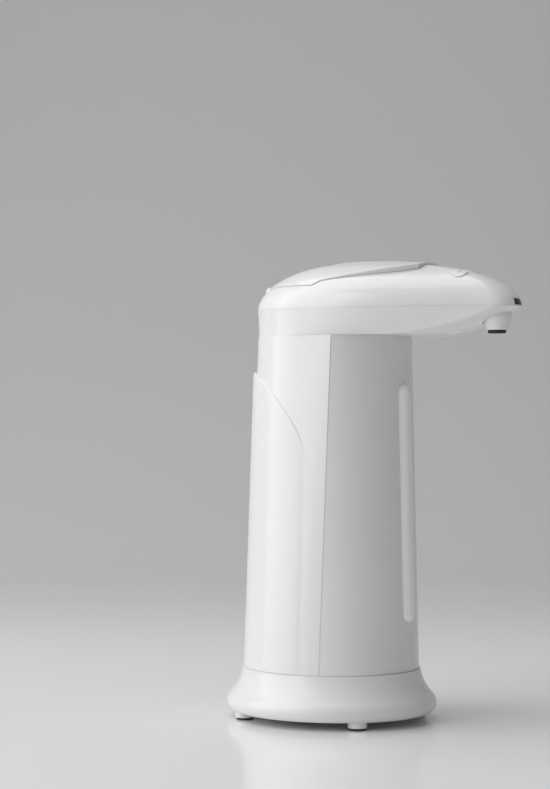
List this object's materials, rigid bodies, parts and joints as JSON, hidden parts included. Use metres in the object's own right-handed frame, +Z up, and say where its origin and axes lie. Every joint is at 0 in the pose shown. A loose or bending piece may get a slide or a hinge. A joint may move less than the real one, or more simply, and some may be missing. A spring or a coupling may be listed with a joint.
{
  "type": "automatic soap dispenser",
  "caption": "Counter-top sensor soap dispenser: tapered white column on a flared base, teardrop head with hinged filler lid, drooping nozzle, upright level window, geared hose pump.",
  "frame": {"origin": "bottom centre of the whole object's box, on the surface that the foot pads stand on", "axes": "+Z up, the nozzle's nose towards -Y, +X to the right seen from the nose side"},
  "size_m": [0.084, 0.1334, 0.1928],
  "materials": {
    "white_shell": "glossy white ABS",
    "white_moulding": "satin white ABS",
    "level_window": "milky clear SAN",
    "smoked_lens": "smoked clear plastic",
    "black_rubber": "soft black rubber",
    "grey_seal": "silicone",
    "steel": "plated steel",
    "spring_brass": "nickelled spring brass",
    "cell_jacket": "printed steel can, plain",
    "pump_plastic": "acetal",
    "gear_plastic": "natural acetal",
    "clear_hose": "milky silicone hose",
    "board_green": "solder-masked board",
    "black_parts": "moulded black",
    "indicator_led": "clear epoxy",
    "red_wire": "PVC",
    "black_wire": "PVC"
  },
  "bodies": {
    "housing": {"tank_body": "white_shell", "front_panel": "white_shell", "base_skirt": "white_shell", "head_lower_shell": "white_shell", "head_upper_shell": "white_shell", "nozzle": "white_shell", "base_plate": "white_moulding", "battery_door": "white_moulding", "tank_cover": "white_moulding", "level_window": "level_window", "sensor_window": "level_window", "indicator_lens": "smoked_lens", "foot_pad_front_left": "black_rubber", "foot_pad_front_right": "black_rubber", "foot_pad_rear_left": "black_rubber", "foot_pad_rear_right": "black_rubber", "nozzle_tip": "black_rubber", "battery_door_seal": "grey_seal", "tank_gasket": "grey_seal", "lid_hinge_pin": "steel", "base_screws": "steel", "board_screws": "steel", "gear_motor": "steel", "battery_contacts": "spring_brass", "aaa_cells": "cell_jacket", "pump_housing": "pump_plastic", "pump_cover": "pump_plastic", "hose_couplings": "pump_plastic", "pump_tube": "clear_hose", "suction_hose": "clear_hose", "delivery_hose": "clear_hose", "circuit_board": "board_green", "tact_switches": "black_parts", "infrared_pair": "black_parts", "indicator_led": "indicator_led", "battery_lead_red": "red_wire", "battery_lead_black": "black_wire"},
    "lid": {"lid": "white_shell", "lid_seal": "grey_seal"},
    "plus_button": {"plus_button": "white_moulding"},
    "minus_button": {"minus_button": "white_moulding"},
    "rotor": {"pump_rotor": "pump_plastic", "pump_rollers": "gear_plastic", "rotor_gear": "gear_plastic"},
    "pinion": {"motor_pinion": "gear_plastic"}
  },
  "joints": [
    {"name": "lid_hinge", "type": "hinge", "parent": "housing", "child": "lid", "pos_m": [0, 0.04485, 0.1811], "axis": [-1, 0, 0], "range_deg": [0, 95]},
    {"name": "plus_press", "type": "slide", "parent": "housing", "child": "plus_button", "axis": [0, 0, -1], "range_m": [0, 0.0008], "stiffness_N_per_m": 600},
    {"name": "minus_press", "type": "slide", "parent": "housing", "child": "minus_button", "axis": [0, 0, -1], "range_m": [0, 0.0008], "stiffness_N_per_m": 600},
    {"name": "rotor_spin", "type": "hinge", "parent": "housing", "child": "rotor", "pos_m": [-0.011, -0.00175, 0.1744], "axis": [0, 0, 1], "continuous": true},
    {"name": "motor_spin", "type": "hinge", "parent": "housing", "child": "pinion", "pos_m": [0.009, -0.00175, 0.1744], "axis": [0, 0, 1], "continuous": true}
  ],
  "couplings": [
    {"joint": "motor_spin", "follows": "rotor_spin", "ratio": -3.0714}
  ]
}
